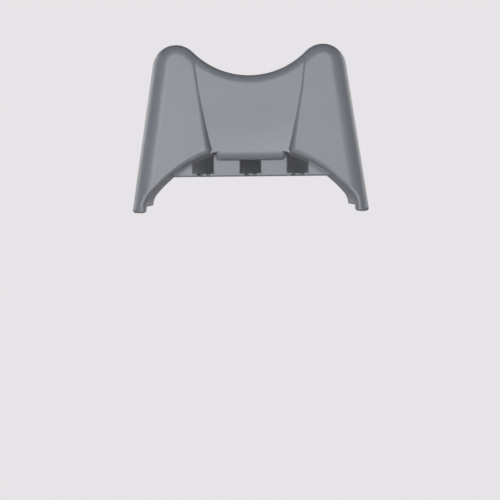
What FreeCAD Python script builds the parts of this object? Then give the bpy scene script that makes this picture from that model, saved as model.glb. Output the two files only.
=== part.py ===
# Garden hose hanger for a wall, moulded in one piece: a front shield with two eared wings and a
# set-back middle panel, an arched saddle behind it, a wall plate, and a slotted tool rail below.
#
# Millimetres. Origin on the wall face, midway between the two screw holes. X points right as seen
# from the front, Y into the wall, Z up. "Depth" is the distance out from the wall, so it runs
# along -Y.
import FreeCAD
import Part

import math
import os

from FreeCAD import Vector

# Overall
DEPTH = 130.0               # wall face to the front of the wings
SHIELD_DEPTH = 28.0         # front shield, front to back
SHIELD_WALL = 3.2
HOLLOW_BEVEL = 0.68         # bevels inside the shield, as a share of the rounding outside
SADDLE_WALL = 4.0

# Front outline of the shield
EAR_OFFSET = 82.5           # middle of each ear, from the centre line
EAR_RADIUS = 27.0
EAR_TOP = 135.3             # height of the ears
DIP_HEIGHT = 101.0          # lowest point of the top edge, between the ears
TIP_OFFSET = 134.5          # outer corner of each wing tip, from the centre line
TIP_HEIGHT = -52.7          # lower end of the wing tips

# Wings
TOP_ROUND = 12.0            # front edge over the ears
SIDE_ROUND = 20.0           # front edge down the outer sides
LOWER_ROUND = 9.0           # lower front edge
TIP_ROUND = 3.5             # lower front edge and corners at the tip
TIP_WALL = 6.4              # solid lower end of the tip
STEP_OFFSET = 47.5          # wing's inner edge where it meets the saddle
STEP_DRAFT = 28.0           # degrees, side of the step down to the panel
STEP_ROUND = 6.0

# Middle panel
PANEL_TOP_SETBACK = 1.6     # behind the wing face, along the dip
PANEL_FOOT_SETBACK = 12.5   # behind the wing face, at the panel's foot
PANEL_BEND_HEIGHT = 90.0    # upright above this, curving back below
PANEL_FOOT_HEIGHT = 6.4
PANEL_FOOT_OFFSET = 39.5    # half width of the foot
PANEL_TOP_ROUND = 10.0
PANEL_FOOT_ROUND = 12.0
PANEL_SIDE_ROUND = 5.0

# Saddle
ARCH_RADIUS = 149.6         # underside of the saddle
ARCH_HEIGHT = 20.7          # top of the underside
ARCH_OFFSET = 119.0         # inner face of the upright ends
ARCH_BLEND = 20.0           # between the arch and its upright ends
SADDLE_FOOT_HEIGHT = -46.0
SADDLE_FOOT_ROUND = 1.5     # less than half the saddle's wall

# Wall plate
PLATE_THICKNESS = 4.0
PLATE_OFFSET = 92.0         # half width
PLATE_CORNER = 16.0
GUARD_HEIGHT = 38.0         # how far the plate stands up behind the hose
GUARD_ROUND = 1.5           # front edge of the part that stands up
SCREW_OFFSET = 37.0         # screws, from the centre line: reached through the outer slots
SCREW_HOLE_RADIUS = 2.75
SCREW_BOSS_RADIUS = 7.5
SCREW_BOSS_HEIGHT = 3.0

# Tool rail
RAIL_SETBACK = 28.0         # rail front, behind the wing face
RAIL_WALL = 3.0
RAIL_FOOT_HEIGHT = -11.7
SLOT_PITCH = 53.9
SLOT_WIDTH = 22.8
SLOT_ROUND = 2.0            # front edges of the slots
SHELF_DEPTH = 30.0
SHELF_THICKNESS = 2.8
SHELF_BEVEL = 1.0           # lower edge, along the front and round the notches
NOTCH_WIDTH = 12.5
NOTCH_DEPTH = 21.0
NOTCH_ROUND = 2.0           # corners of the notch mouths
RIB_THICKNESS = 3.0

# Working lengths
OVERLAP = 1.0               # how far joined pieces reach into each other
FAR = 400.0                 # longer than the hanger, for cutting bodies
NEAR = 1e-3                 # two places closer than this are the same

SLOT_OFFSETS = [-SLOT_PITCH, 0.0, SLOT_PITCH]
SCREW_OFFSETS = [-SCREW_OFFSET, SCREW_OFFSET]
SCREW_DEPTH = PLATE_THICKNESS + SCREW_BOSS_HEIGHT
SHIELD_BACK = DEPTH - SHIELD_DEPTH
RAIL_FRONT = DEPTH - RAIL_SETBACK
ARCH_CENTRE = (0.0, ARCH_HEIGHT - ARCH_RADIUS)
EAR_CENTRE = (EAR_OFFSET, EAR_TOP - EAR_RADIUS)


def at(x, depth, z):
    """A point by its depth out from the wall."""
    return Vector(x, -depth, z)


def line(start, end):
    return Part.LineSegment(start, end).toShape()


def arc(centre, radius, start_angle, end_angle, depth=0.0):
    """An arc in the front view."""
    middle_angle = (start_angle + end_angle) / 2
    points = []
    for angle in (start_angle, middle_angle, end_angle):
        x = centre[0] + radius * math.cos(angle)
        z = centre[1] + radius * math.sin(angle)
        points.append(at(x, depth, z))
    return Part.Arc(*points).toShape()


def prism(edges, length):
    """Extrude a closed front-view outline forwards."""
    return Part.Face(Part.Wire(edges)).extrude(at(0, length, 0))


def closed(points):
    return Part.makePolygon(points + points[:1])


def middle_of(edge):
    return edge.valueAt((edge.FirstParameter + edge.LastParameter) / 2)


def depth_of(point):
    return -point.y


def edges_over(solid, outline, behind):
    """Edges in front of a depth that lie over an outline of the front view."""
    found = []
    for edge in solid.Edges:
        start = edge.valueAt(edge.FirstParameter)
        end = edge.valueAt(edge.LastParameter)
        middle = middle_of(edge)
        runs_across = math.hypot(end.x - start.x, end.z - start.z) > NEAR
        flattened = Part.Vertex(at(middle.x, 0, middle.z))
        lies_over = outline.distToShape(flattened)[0] < NEAR
        if runs_across and lies_over and depth_of(middle) > behind + NEAR:
            found.append(edge)
    return found


def varied_fillet(solid, edges, radius_at):
    """Fillet edges with a radius that depends on the place."""
    document = FreeCAD.newDocument("fillet")
    base = document.addObject("Part::Feature", "base")
    base.Shape = solid
    table = []
    for number, candidate in enumerate(base.Shape.Edges, 1):
        if any(candidate.isSame(edge) for edge in edges):
            start = candidate.valueAt(candidate.FirstParameter)
            end = candidate.valueAt(candidate.LastParameter)
            table.append((number, radius_at(start), radius_at(end)))
    rounded = document.addObject("Part::Fillet", "rounded")
    rounded.Base = base
    rounded.Edges = table
    document.recompute()
    result = rounded.Shape.copy()
    FreeCAD.closeDocument(document.Name)
    return result.Solids[0]


def ear_angles():
    """Where the ear's arc meets the dip's arc, and where it meets the straight side."""
    drop = DIP_HEIGHT - EAR_CENTRE[1]
    dip_radius = (EAR_OFFSET**2 + drop**2 - EAR_RADIUS**2) / (2 * (EAR_RADIUS - drop))
    dip_centre = (0.0, DIP_HEIGHT + dip_radius)
    dip_angle = math.atan2(dip_centre[1] - EAR_CENTRE[1], -EAR_OFFSET)
    run = TIP_OFFSET - EAR_CENTRE[0]
    fall = TIP_HEIGHT - EAR_CENTRE[1]
    side_angle = math.atan2(fall, run) + math.acos(EAR_RADIUS / math.hypot(run, fall))
    return dip_centre, dip_radius, dip_angle, side_angle


DIP_CENTRE, DIP_RADIUS, DIP_ANGLE, SIDE_ANGLE = ear_angles()
STEP_TOP = (
    EAR_CENTRE[0] + EAR_RADIUS * math.cos(DIP_ANGLE),
    EAR_CENTRE[1] + EAR_RADIUS * math.sin(DIP_ANGLE),
)
STEP_FOOT = (STEP_OFFSET, ARCH_CENTRE[1] + math.sqrt(ARCH_RADIUS**2 - STEP_OFFSET**2))


def arched_outline(radius, offset, blend):
    """An arch about the saddle's centre, blended into upright ends. Left end first."""
    blend_x = offset - blend
    blend_z = ARCH_CENTRE[1] + math.sqrt((radius - blend) ** 2 - blend_x**2)
    angle = math.atan2(blend_z - ARCH_CENTRE[1], blend_x)
    floor = -FAR / 2
    return [
        line(at(-offset, 0, floor), at(-offset, 0, blend_z)),
        arc((-blend_x, blend_z), blend, math.pi, math.pi - angle),
        arc(ARCH_CENTRE, radius, math.pi - angle, angle),
        arc((blend_x, blend_z), blend, angle, 0.0),
        line(at(offset, 0, blend_z), at(offset, 0, floor)),
    ]


def arched_space(radius, offset, blend, length=FAR):
    """Everything under an arch."""
    floor = -FAR / 2
    base = line(at(offset, 0, floor), at(-offset, 0, floor))
    return prism(arched_outline(radius, offset, blend) + [base], length)


def saddle_outline(grow=0.0):
    return arched_outline(ARCH_RADIUS + grow, ARCH_OFFSET + grow, ARCH_BLEND + grow)


def under_saddle(grow=0.0, length=FAR):
    """The space under the saddle, grown outwards."""
    return arched_space(ARCH_RADIUS + grow, ARCH_OFFSET + grow, ARCH_BLEND + grow, length)


def block(x_range, depth_range, z_range):
    size_x = x_range[1] - x_range[0]
    size_depth = depth_range[1] - depth_range[0]
    size_z = z_range[1] - z_range[0]
    return Part.makeBox(size_x, size_depth, size_z, at(x_range[0], depth_range[1], z_range[0]))


def wing_rim(inset):
    """Top and outer side of the right wing's outline, as an open wire."""
    radius = EAR_RADIUS - inset
    dip_side = (math.cos(DIP_ANGLE), math.sin(DIP_ANGLE))
    out_side = (math.cos(SIDE_ANGLE), math.sin(SIDE_ANGLE))
    start = at(EAR_CENTRE[0] + radius * dip_side[0], 0, EAR_CENTRE[1] + radius * dip_side[1])
    end = at(EAR_CENTRE[0] + radius * out_side[0], 0, EAR_CENTRE[1] + radius * out_side[1])
    towards_dip = Vector(-dip_side[1], 0, dip_side[0])
    down_side = Vector(out_side[1], 0, -out_side[0])
    inner = start + towards_dip * (start.x - OVERLAP)
    lower = end + down_side * (FAR / 2)
    top_angle = math.pi / 2
    edges = [
        line(inner, start),
        arc(EAR_CENTRE, radius, DIP_ANGLE, top_angle),
        arc(EAR_CENTRE, radius, top_angle, SIDE_ANGLE),
        line(end, lower),
    ]
    return edges, inner, lower


def wing_side_of_step(inset):
    """Everything outside the drafted step between the panel and the right wing."""
    draft = math.radians(STEP_DRAFT)
    slope = math.tan(draft)
    shift = inset / math.cos(draft)
    down = Vector(STEP_FOOT[0] - STEP_TOP[0], 0, STEP_FOOT[1] - STEP_TOP[1]).normalize()
    outward = Vector(-down.z, 0, down.x)
    top = at(STEP_TOP[0], 0, STEP_TOP[1]) - down * (FAR / 4) + outward * shift
    corners = []
    for depth in (0.0, 2 * DEPTH):
        corners.append(top + outward * ((depth - DEPTH) * slope) + at(0, depth, 0))
    corners.append(top + outward * FAR + at(0, 2 * DEPTH, 0))
    corners.append(top + outward * FAR)
    normal = at(0, math.sin(draft), 0) - outward * math.cos(draft)
    return Part.Face(closed(corners)).extrude(down * FAR), normal


def hollow_bevel(outer_round):
    """Bevel in the hollow behind an edge that is rounded outside."""
    return HOLLOW_BEVEL * (outer_round - SHIELD_WALL)


def wing_blank(inset, back):
    """The right wing before it is rounded and cut to shape, and the outline of its rim."""
    rim, inner, lower = wing_rim(inset)
    corner = at(inner.x, 0, lower.z)
    blank = prism(rim + [line(lower, corner), line(corner, inner)], DEPTH - inset)
    blank = blank.cut(block((-FAR, FAR), (-FAR, back), (-FAR, FAR)))
    return blank, Part.Wire(rim)


def cut_wing(body, inset, grow, tip):
    """Cut a wing off at the saddle, the tip and the step; also gives its lower front edges."""
    below_tip = block((-FAR, FAR), (-FAR, FAR), (-FAR, tip))
    body = body.cut(under_saddle(grow)).cut(below_tip).common(wing_side_of_step(inset)[0])
    body = body.removeSplitter().Solids[0]
    lower_edges = []
    for edge in edges_over(body, Part.Wire(saddle_outline(grow)), SHIELD_BACK):
        if middle_of(edge).x > STEP_OFFSET + inset:
            lower_edges.append(edge)
    return body, lower_edges


def wing():
    def rim_radius(point):
        return SIDE_ROUND if point.x > EAR_OFFSET + NEAR else TOP_ROUND

    def lower_radius(point):
        on_face = depth_of(point) > DEPTH - NEAR
        return LOWER_ROUND if on_face else TIP_ROUND

    def in_front(edge):
        return depth_of(middle_of(edge)) > SHIELD_BACK + NEAR

    blank, rim = wing_blank(0.0, SHIELD_BACK)
    body = varied_fillet(blank, edges_over(blank, rim, SHIELD_BACK), rim_radius)
    body, lower_edges = cut_wing(body, 0.0, 0.0, TIP_HEIGHT)
    for edge in body.Edges:
        if in_front(edge) and abs(middle_of(edge).z - TIP_HEIGHT) < NEAR:
            lower_edges.append(edge)
    body = varied_fillet(body, lower_edges, lower_radius)

    step_normal = wing_side_of_step(0.0)[1]
    step_edges = []
    for face in body.Faces:
        flat = face.Surface.TypeId == "Part::GeomPlane"
        if flat and face.normalAt(0, 0).dot(step_normal) > 1 - NEAR:
            step_edges = [edge for edge in face.Edges if in_front(edge)]
    return body.makeFillet(STEP_ROUND, step_edges)


def lower_bevel():
    """What bevels the hollow behind the wings' rounded lower edges: a flared saddle space."""
    front = DEPTH - SHIELD_WALL
    bevel = hollow_bevel(LOWER_ROUND)
    sections = []
    for depth, grow in ((front - bevel, SADDLE_WALL), (front, SADDLE_WALL + bevel)):
        offset = ARCH_OFFSET + grow
        base = line(at(offset, 0, -FAR / 2), at(-offset, 0, -FAR / 2))
        section = Part.Wire(saddle_outline(grow) + [base])
        section.translate(at(0, depth, 0))
        sections.append(section)
    return Part.makeLoft(sections, True, True)


def wing_hollow():
    blank, rim = wing_blank(SHIELD_WALL, 0.0)
    body = blank.makeChamfer(hollow_bevel(SIDE_ROUND), edges_over(blank, rim, 0.0))
    body = cut_wing(body, SHIELD_WALL, SADDLE_WALL, TIP_HEIGHT + TIP_WALL)[0]
    return body.cut(lower_bevel())


def behind_panel_face(inset):
    """Everything behind the panel's face: upright at the top, curving back to the foot."""
    low = PANEL_FOOT_HEIGHT - OVERLAP
    high = FAR / 2
    fall = PANEL_BEND_HEIGHT - PANEL_FOOT_HEIGHT
    lean = PANEL_FOOT_SETBACK - PANEL_TOP_SETBACK
    radius = (fall**2 + lean**2) / (2 * lean)
    centre_depth = DEPTH - PANEL_TOP_SETBACK - radius

    def on_curve(z):
        drop = PANEL_BEND_HEIGHT - z
        return at(-FAR / 2, centre_depth + math.sqrt((radius - inset) ** 2 - drop**2), z)

    bend = on_curve(PANEL_BEND_HEIGHT)
    end = on_curve(low)
    curve = Part.Arc(bend, on_curve((PANEL_BEND_HEIGHT + low) / 2), end).toShape()
    top = at(bend.x, depth_of(bend), high)
    back_top = at(bend.x, 0, high)
    back_low = at(bend.x, 0, low)
    edges = [
        curve,
        line(end, back_low),
        line(back_low, back_top),
        line(back_top, top),
        line(top, bend),
    ]
    return Part.Face(Part.Wire(edges)).extrude(Vector(FAR, 0, 0))


def panel_blank(inset, back):
    """The middle panel above the saddle, not yet rounded, and the outline of the dip."""
    angle = math.atan2(STEP_TOP[1] - DIP_CENTRE[1], STEP_TOP[0] - DIP_CENTRE[0])
    radius = DIP_RADIUS + inset
    dip = arc(DIP_CENTRE, radius, -math.pi - angle, angle)
    end_x = DIP_CENTRE[0] + radius * math.cos(angle)
    end_z = DIP_CENTRE[1] + radius * math.sin(angle)
    foot_angle = math.acos(STEP_FOOT[0] / ARCH_RADIUS)
    edges = [
        dip,
        line(at(end_x, 0, end_z), at(STEP_FOOT[0], 0, STEP_FOOT[1])),
        arc(ARCH_CENTRE, ARCH_RADIUS, foot_angle, math.pi - foot_angle),
        line(at(-STEP_FOOT[0], 0, STEP_FOOT[1]), at(-end_x, 0, end_z)),
    ]
    body = prism(edges, FAR).common(block((-FAR, FAR), (back, FAR), (-FAR, FAR)))
    body = body.common(behind_panel_face(inset)).Solids[0]
    return body, Part.Wire([dip])


def foot_blank(inset, back):
    """The panel's foot, which hangs below the saddle, and its lower front edge."""
    offset = PANEL_FOOT_OFFSET - inset
    foot = PANEL_FOOT_HEIGHT + inset
    top = ARCH_HEIGHT + PANEL_FOOT_ROUND
    body = block((-offset, offset), (back, FAR), (foot, top)).common(behind_panel_face(inset))
    base = line(at(-offset, 0, foot), at(offset, 0, foot))
    return body, edges_over(body, base, back)


def panel():
    body, dip = panel_blank(0.0, SHIELD_BACK)
    return body.makeFillet(PANEL_TOP_ROUND, edges_over(body, dip, SHIELD_BACK))


def panel_foot():
    body, foot_edges = foot_blank(0.0, SHIELD_BACK)
    body = body.makeFillet(PANEL_FOOT_ROUND, foot_edges)
    top = body.BoundBox.ZMax
    side_edges = []
    for edge in body.Edges:
        middle = middle_of(edge)
        on_side = abs(abs(middle.x) - PANEL_FOOT_OFFSET) < NEAR
        if on_side and middle.z < top - NEAR and depth_of(middle) > SHIELD_BACK + NEAR:
            side_edges.append(edge)
    return body.makeFillet(PANEL_SIDE_ROUND, side_edges)


def panel_hollow():
    body, dip = panel_blank(SHIELD_WALL, 0.0)
    body = body.makeChamfer(hollow_bevel(PANEL_TOP_ROUND), edges_over(body, dip, 0.0))
    foot, foot_edges = foot_blank(SHIELD_WALL, 0.0)
    return body.fuse(foot.makeChamfer(hollow_bevel(PANEL_FOOT_ROUND), foot_edges))


def mirrored(shape):
    return shape.mirror(Vector(0, 0, 0), Vector(1, 0, 0))


def shield():
    """The front shield: hollow, open behind, with the saddle running on through it."""
    right = wing()
    body = right.fuse([mirrored(right), panel(), panel_foot()])
    right_hollow = wing_hollow()
    hollow = right_hollow.fuse([mirrored(right_hollow), panel_hollow()])
    saddle_band = under_saddle(SADDLE_WALL).cut(under_saddle())
    return body.cut(hollow.cut(saddle_band))


def saddle():
    """The arch the hose lies on, from the wall to the shield."""
    band = under_saddle(SADDLE_WALL, SHIELD_BACK).cut(under_saddle(0.0, SHIELD_BACK))
    band = band.cut(block((-FAR, FAR), (-FAR, FAR), (-FAR, SADDLE_FOOT_HEIGHT))).Solids[0]
    foot_edges = []
    for edge in band.Edges:
        at_foot = abs(middle_of(edge).z - SADDLE_FOOT_HEIGHT) < NEAR
        if at_foot and edge.Length > SADDLE_WALL + NEAR:
            foot_edges.append(edge)
    return band.makeFillet(SADDLE_FOOT_ROUND, foot_edges)


def wall_plate():
    """The plate on the wall, standing up behind the hose, with bosses for the screws."""
    radius = ARCH_RADIUS + SADDLE_WALL + GUARD_HEIGHT
    outline = Part.Wire(arched_outline(radius, PLATE_OFFSET, PLATE_CORNER))
    plate = arched_space(radius, PLATE_OFFSET, PLATE_CORNER, PLATE_THICKNESS)
    plate = plate.makeFillet(GUARD_ROUND, edges_over(plate, outline, NEAR))
    plate = plate.cut(block((-FAR, FAR), (-FAR, FAR), (-FAR, RAIL_FOOT_HEIGHT)))
    for x in SCREW_OFFSETS:
        boss = Part.makeCylinder(SCREW_BOSS_RADIUS, SCREW_DEPTH, at(x, 0, 0), at(0, 1, 0))
        plate = plate.fuse(boss)
    return plate


def screw_holes():
    holes = []
    length = SCREW_DEPTH + 2 * OVERLAP
    for x in SCREW_OFFSETS:
        start = at(x, -OVERLAP, 0)
        holes.append(Part.makeCylinder(SCREW_HOLE_RADIUS, length, start, at(0, 1, 0)))
    return Part.makeCompound(holes)


def upright_edges(solid, depth):
    """Edges that run straight up at a depth, without the far ends that are cut away later."""
    found = []
    for edge in solid.Edges:
        start = edge.valueAt(edge.FirstParameter)
        end = edge.valueAt(edge.LastParameter)
        upright = math.hypot(end.x - start.x, end.y - start.y) < NEAR
        if upright and abs(depth_of(start) - depth) < NEAR and abs(start.x) < FAR / 4:
            found.append(edge)
    return found


def rail_face():
    """The upright face of the rail, cut by the slots."""
    high = FAR / 2
    low = RAIL_FOOT_HEIGHT + SHELF_THICKNESS / 2
    face = block((-high, high), (RAIL_FRONT - RAIL_WALL, RAIL_FRONT), (low, high))
    for x in SLOT_OFFSETS:
        half = SLOT_WIDTH / 2
        face = face.cut(block((x - half, x + half), (0, FAR), (-high, high)))
    return face.makeFillet(SLOT_ROUND, upright_edges(face, RAIL_FRONT))


def shelf():
    """The shelf behind the rail's lower edge, with a notch in the middle of each slot."""
    high = FAR / 2
    notch_radius = NOTCH_WIDTH / 2
    notch_end = RAIL_FRONT - NOTCH_DEPTH + notch_radius
    heights = (RAIL_FOOT_HEIGHT, RAIL_FOOT_HEIGHT + SHELF_THICKNESS)
    body = block((-high, high), (RAIL_FRONT - SHELF_DEPTH, RAIL_FRONT), heights)
    for x in SLOT_OFFSETS:
        mouth = block((x - notch_radius, x + notch_radius), (notch_end, FAR), (-high, high))
        start = at(x, notch_end, -high)
        body = body.cut(mouth).cut(Part.makeCylinder(notch_radius, FAR, start))
    body = body.makeFillet(NOTCH_ROUND, upright_edges(body, RAIL_FRONT))
    lower_edges = []
    for edge in body.Edges:
        middle = middle_of(edge)
        in_front = depth_of(middle) > RAIL_FRONT - NOTCH_DEPTH - NEAR
        if in_front and abs(middle.z - RAIL_FOOT_HEIGHT) < NEAR and abs(middle.x) < high - NEAR:
            lower_edges.append(edge)
    return body.makeChamfer(SHELF_BEVEL, lower_edges)


def rail():
    return rail_face().fuse(shelf()).common(under_saddle(OVERLAP))


def ribs():
    """Two ribs under the saddle, from the wall plate to the rail."""
    bodies = []
    depths = (PLATE_THICKNESS - OVERLAP, RAIL_FRONT - RAIL_WALL + OVERLAP)
    heights = (RAIL_FOOT_HEIGHT + SHELF_THICKNESS / 2, FAR / 2)
    for x in (-SLOT_PITCH / 2, SLOT_PITCH / 2):
        half = RIB_THICKNESS / 2
        bodies.append(block((x - half, x + half), depths, heights).common(under_saddle(OVERLAP)))
    return bodies


def hanger():
    body = shield().fuse([saddle(), wall_plate(), rail()] + ribs())
    return body.cut(screw_holes()).removeSplitter()


part = hanger()
os.makedirs("parts", exist_ok=True)
part.exportStep("parts/hanger.step")
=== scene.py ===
# Garden hose hanger in moulded grey plastic, seen from the front at the height it hangs.
# Metres, in the frame of the solids: X right, Y into the wall, Z up.
import math
from collections import namedtuple

import bmesh
import bpy
from mathutils import Matrix, Vector


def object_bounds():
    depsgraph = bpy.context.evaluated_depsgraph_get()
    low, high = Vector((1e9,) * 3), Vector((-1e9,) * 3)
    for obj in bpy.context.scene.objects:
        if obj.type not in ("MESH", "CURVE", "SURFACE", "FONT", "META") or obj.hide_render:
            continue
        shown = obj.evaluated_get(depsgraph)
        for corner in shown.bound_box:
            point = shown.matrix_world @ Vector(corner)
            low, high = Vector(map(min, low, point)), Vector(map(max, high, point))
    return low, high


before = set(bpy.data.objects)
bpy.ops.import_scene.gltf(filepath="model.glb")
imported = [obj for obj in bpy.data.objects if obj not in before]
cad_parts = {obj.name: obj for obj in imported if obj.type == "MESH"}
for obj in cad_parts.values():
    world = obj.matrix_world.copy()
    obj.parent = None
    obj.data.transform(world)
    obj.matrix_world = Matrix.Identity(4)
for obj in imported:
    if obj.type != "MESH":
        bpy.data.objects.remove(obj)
solid_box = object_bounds()

# Plastic
PLASTIC_COLOURS = ((0.203, 0.217, 0.247, 1.0), (0.219, 0.234, 0.266, 1.0))
PLASTIC_ROUGHNESS = (0.39, 0.46)
CLOUD_SIZE = 0.030              # soft clouds where the melt cooled unevenly
CLOUD_DETAIL = 3.0
GRAIN_SIZE = 0.0007             # spacing of the moulded grain
GRAIN_DETAIL = 2.0
GRAIN_DEPTH = 0.00006

# Surroundings
PALE = (0.80, 0.775, 0.80, 1.0)
AMBIENT = 0.16                  # strength of the light from all round
BACKDROP_FADE = 0.28            # sine of the height at which reflections have lost the backdrop
FLOOR_COLOUR = (0.36, 0.35, 0.36, 1.0)
FLOOR_ROUGHNESS = 0.9
FLOOR_RADIUS = 3.0
FLOOR_SEGMENTS = 96
FLOOR_DROP = 1.2                # a hanger is screwed to the wall at about this height
FLOOR_GLOW = 1.1                # brightness of the floor's own pale glow
FLOOR_GLOW_SHARE = 0.8          # the rest of the floor's look is its shading, with the shadow

# Lamps: azimuth 0 is the front and 90 the right, in degrees. Brightness is how bright a white card
# turned to the lamp would look. A lamp lights the matt colour, shines in the gloss, or does both.
LAMP_FIELDS = "name azimuth elevation width height brightness lights shines"
Lamp = namedtuple("Lamp", LAMP_FIELDS, defaults=(True, True))
LAMP_DISTANCE = 2.0
LAMPS = (
    Lamp("left key lamp", azimuth=-17.0, elevation=3.0, width=0.36, height=0.30, brightness=0.41),
    Lamp("right key lamp", azimuth=11.0, elevation=7.0, width=0.36, height=0.30, brightness=0.25),
    Lamp("low gloss lamp", azimuth=10.0, elevation=-27.0, width=1.00, height=0.50, brightness=0.60,
         lights=False),
    Lamp("left gloss lamp", azimuth=-42.0, elevation=-34.0, width=1.20, height=0.30, brightness=0.12,
         lights=False),
    Lamp("right gloss lamp", azimuth=45.0, elevation=-34.0, width=1.20, height=0.30, brightness=0.12,
         lights=False),
    Lamp("left panel", azimuth=-125.0, elevation=14.0, width=1.40, height=1.00, brightness=0.32),
    Lamp("right panel", azimuth=128.0, elevation=14.0, width=1.40, height=1.00, brightness=0.30),
    Lamp("back lamp", azimuth=180.0, elevation=22.0, width=1.00, height=1.00, brightness=0.70,
         shines=False),
)

# Camera
CAMERA_DISTANCE = 1.400         # in front of the wings
CAMERA_OFFSET = -0.0015         # along X from the middle
CAMERA_HEIGHT = -0.022          # along Z from the screw holes
CAMERA_TILT = 2.98              # degrees down
CAMERA_ROLL = 0.60              # degrees clockwise
CAMERA_LENS = 90.0
CAMERA_SENSOR = 36.0


def plain_material(name, colour, roughness):
    """A material with its shader, in one colour and one roughness."""
    material = bpy.data.materials.new(name)
    material.use_nodes = True
    shader = material.node_tree.nodes["Principled BSDF"]
    shader.inputs["Base Color"].default_value = colour
    shader.inputs["Roughness"].default_value = roughness
    return material, shader


def noise(material, size, detail):
    """Noise of the given grain size, fixed to the piece."""
    nodes = material.node_tree.nodes
    links = material.node_tree.links
    place = nodes.new("ShaderNodeTexCoord")
    texture = nodes.new("ShaderNodeTexNoise")
    texture.inputs["Scale"].default_value = 1.0 / size
    texture.inputs["Detail"].default_value = detail
    links.new(place.outputs["Object"], texture.inputs["Vector"])
    return texture.outputs["Fac"]


def grained_plastic():
    """Satin grey plastic: a faintly clouded colour and gloss under the fine grain of the mould."""
    material, shader = plain_material("grained grey plastic", PLASTIC_COLOURS[0], PLASTIC_ROUGHNESS[0])
    nodes = material.node_tree.nodes
    links = material.node_tree.links
    clouds = noise(material, CLOUD_SIZE, CLOUD_DETAIL)
    colour = nodes.new("ShaderNodeMix")
    colour.data_type = "RGBA"
    colour.inputs["A"].default_value, colour.inputs["B"].default_value = PLASTIC_COLOURS
    links.new(clouds, colour.inputs["Factor"])
    links.new(colour.outputs["Result"], shader.inputs["Base Color"])
    gloss = nodes.new("ShaderNodeMapRange")
    gloss.inputs["To Min"].default_value, gloss.inputs["To Max"].default_value = PLASTIC_ROUGHNESS
    links.new(clouds, gloss.inputs["Value"])
    links.new(gloss.outputs["Result"], shader.inputs["Roughness"])
    bump = nodes.new("ShaderNodeBump")
    bump.inputs["Distance"].default_value = GRAIN_DEPTH
    links.new(noise(material, GRAIN_SIZE, GRAIN_DETAIL), bump.inputs["Height"])
    links.new(bump.outputs["Normal"], shader.inputs["Normal"])
    return material


def dress_hanger():
    """The hanger is one moulding, so the whole solid takes the plastic."""
    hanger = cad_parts["hanger"]
    hanger.data.materials.clear()
    hanger.data.materials.append(grained_plastic())


def seen_rays(nodes, links):
    """1 for what the camera sees, straight or in a reflection or through glass, and 0 for light."""
    rays = nodes.new("ShaderNodeLightPath")
    seen = rays.outputs["Is Camera Ray"]
    for kind in ("Is Glossy Ray", "Is Transmission Ray"):
        either = nodes.new("ShaderNodeMath")
        either.operation = "MAXIMUM"
        links.new(seen, either.inputs[0])
        links.new(rays.outputs[kind], either.inputs[1])
        seen = either.outputs["Value"]
    return seen


def pale_floor():
    """Matt pale floor that looks nearly as light as the backdrop and still takes a shadow."""
    material, shader = plain_material("pale floor", FLOOR_COLOUR, FLOOR_ROUGHNESS)
    nodes = material.node_tree.nodes
    links = material.node_tree.links
    glow = nodes.new("ShaderNodeEmission")
    glow.inputs["Color"].default_value = PALE
    glow.inputs["Strength"].default_value = FLOOR_GLOW
    share = nodes.new("ShaderNodeMath")
    share.operation = "MULTIPLY"
    share.inputs[1].default_value = FLOOR_GLOW_SHARE
    choice = nodes.new("ShaderNodeMixShader")
    links.new(seen_rays(nodes, links), share.inputs[0])
    links.new(share.outputs["Value"], choice.inputs["Fac"])
    links.new(shader.outputs["BSDF"], choice.inputs[1])
    links.new(glow.outputs["Emission"], choice.inputs[2])
    links.new(choice.outputs["Shader"], nodes["Material Output"].inputs["Surface"])
    return material


def lay_floor():
    """A round floor, as far below the hanger as where it hangs on a wall."""
    mesh = bpy.data.meshes.new("floor")
    disc = bmesh.new()
    bmesh.ops.create_circle(disc, cap_ends=True, segments=FLOOR_SEGMENTS, radius=FLOOR_RADIUS)
    height = solid_box[0].z - FLOOR_DROP
    bmesh.ops.translate(disc, verts=disc.verts, vec=(0.0, 0.0, height))
    disc.to_mesh(mesh)
    disc.free()
    mesh.materials.append(pale_floor())
    floor = bpy.data.objects.new("floor", mesh)
    bpy.context.scene.collection.objects.link(floor)


def backdrop_strength(nodes, links):
    """1 all round at eye level, fading overhead and underfoot, and 1 wherever the camera looks."""
    direction = nodes.new("ShaderNodeTexCoord")
    parts = nodes.new("ShaderNodeSeparateXYZ")
    links.new(direction.outputs["Generated"], parts.inputs["Vector"])
    steepness = nodes.new("ShaderNodeMath")
    steepness.operation = "ABSOLUTE"
    links.new(parts.outputs["Z"], steepness.inputs[0])
    fade = nodes.new("ShaderNodeMapRange")
    fade.inputs["From Max"].default_value = BACKDROP_FADE
    fade.inputs["To Min"].default_value = 1.0
    fade.inputs["To Max"].default_value = 0.0
    links.new(steepness.outputs["Value"], fade.inputs["Value"])
    rays = nodes.new("ShaderNodeLightPath")
    strength = nodes.new("ShaderNodeMath")
    strength.operation = "MAXIMUM"
    links.new(rays.outputs["Is Camera Ray"], strength.inputs[0])
    links.new(fade.outputs["Result"], strength.inputs[1])
    return strength.outputs["Value"]


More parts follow.
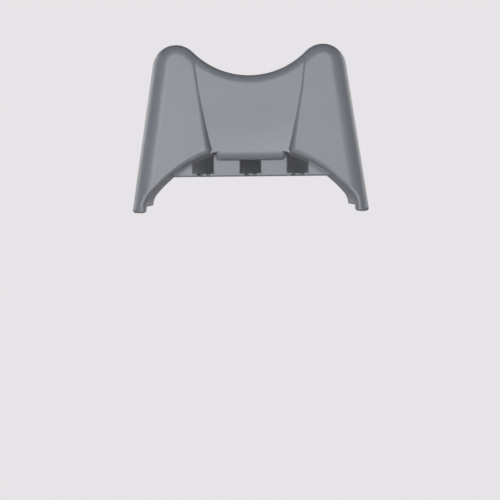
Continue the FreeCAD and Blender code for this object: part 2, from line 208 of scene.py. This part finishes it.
def light_surroundings():
    """A dim world that the camera sees as a pale backdrop, with a dark ceiling for reflections."""
    world = bpy.data.worlds.new("pale studio")
    world.use_nodes = True
    bpy.context.scene.world = world
    nodes = world.node_tree.nodes
    links = world.node_tree.links
    ambient = nodes["Background"]
    ambient.inputs["Color"].default_value = PALE
    ambient.inputs["Strength"].default_value = AMBIENT
    backdrop = nodes.new("ShaderNodeBackground")
    backdrop.inputs["Color"].default_value = PALE
    links.new(backdrop_strength(nodes, links), backdrop.inputs["Strength"])
    choice = nodes.new("ShaderNodeMixShader")
    links.new(seen_rays(nodes, links), choice.inputs["Fac"])
    links.new(ambient.outputs["Background"], choice.inputs[1])
    links.new(backdrop.outputs["Background"], choice.inputs[2])
    links.new(choice.outputs["Shader"], nodes["World Output"].inputs["Surface"])


def hang_lamp(lamp):
    """A soft rectangular lamp at its place round the hanger, turned to the hanger's middle."""
    turn = math.radians(lamp.azimuth)
    rise = math.radians(lamp.elevation)
    reach = math.cos(rise)
    towards_lamp = Vector((math.sin(turn) * reach, -math.cos(turn) * reach, math.sin(rise)))
    light = bpy.data.lights.new(lamp.name, "AREA")
    light.shape = "RECTANGLE"
    light.size = lamp.width
    light.size_y = lamp.height
    light.energy = lamp.brightness * (math.pi * LAMP_DISTANCE) ** 2
    holder = bpy.data.objects.new(lamp.name, light)
    holder.visible_diffuse = lamp.lights
    holder.visible_glossy = lamp.shines
    middle = (solid_box[0] + solid_box[1]) / 2
    holder.location = middle + towards_lamp * LAMP_DISTANCE
    holder.rotation_euler = (-towards_lamp).to_track_quat("-Z", "Y").to_euler()
    bpy.context.scene.collection.objects.link(holder)


def set_camera():
    """The camera looks along the hanger's depth, a little down and a little rolled."""
    camera = bpy.data.cameras.new("camera")
    camera.lens = CAMERA_LENS
    camera.sensor_width = CAMERA_SENSOR
    camera.sensor_fit = "HORIZONTAL"
    holder = bpy.data.objects.new("camera", camera)
    place = Vector((CAMERA_OFFSET, solid_box[0].y - CAMERA_DISTANCE, CAMERA_HEIGHT))
    level = Matrix.Rotation(math.radians(90.0 - CAMERA_TILT), 4, "X")
    roll = Matrix.Rotation(math.radians(-CAMERA_ROLL), 4, "Z")
    holder.matrix_world = Matrix.Translation(place) @ level @ roll
    bpy.context.scene.collection.objects.link(holder)
    bpy.context.scene.camera = holder


dress_hanger()
lay_floor()
light_surroundings()
for lamp in LAMPS:
    hang_lamp(lamp)
set_camera()
bpy.context.scene.view_settings.view_transform = "Standard"
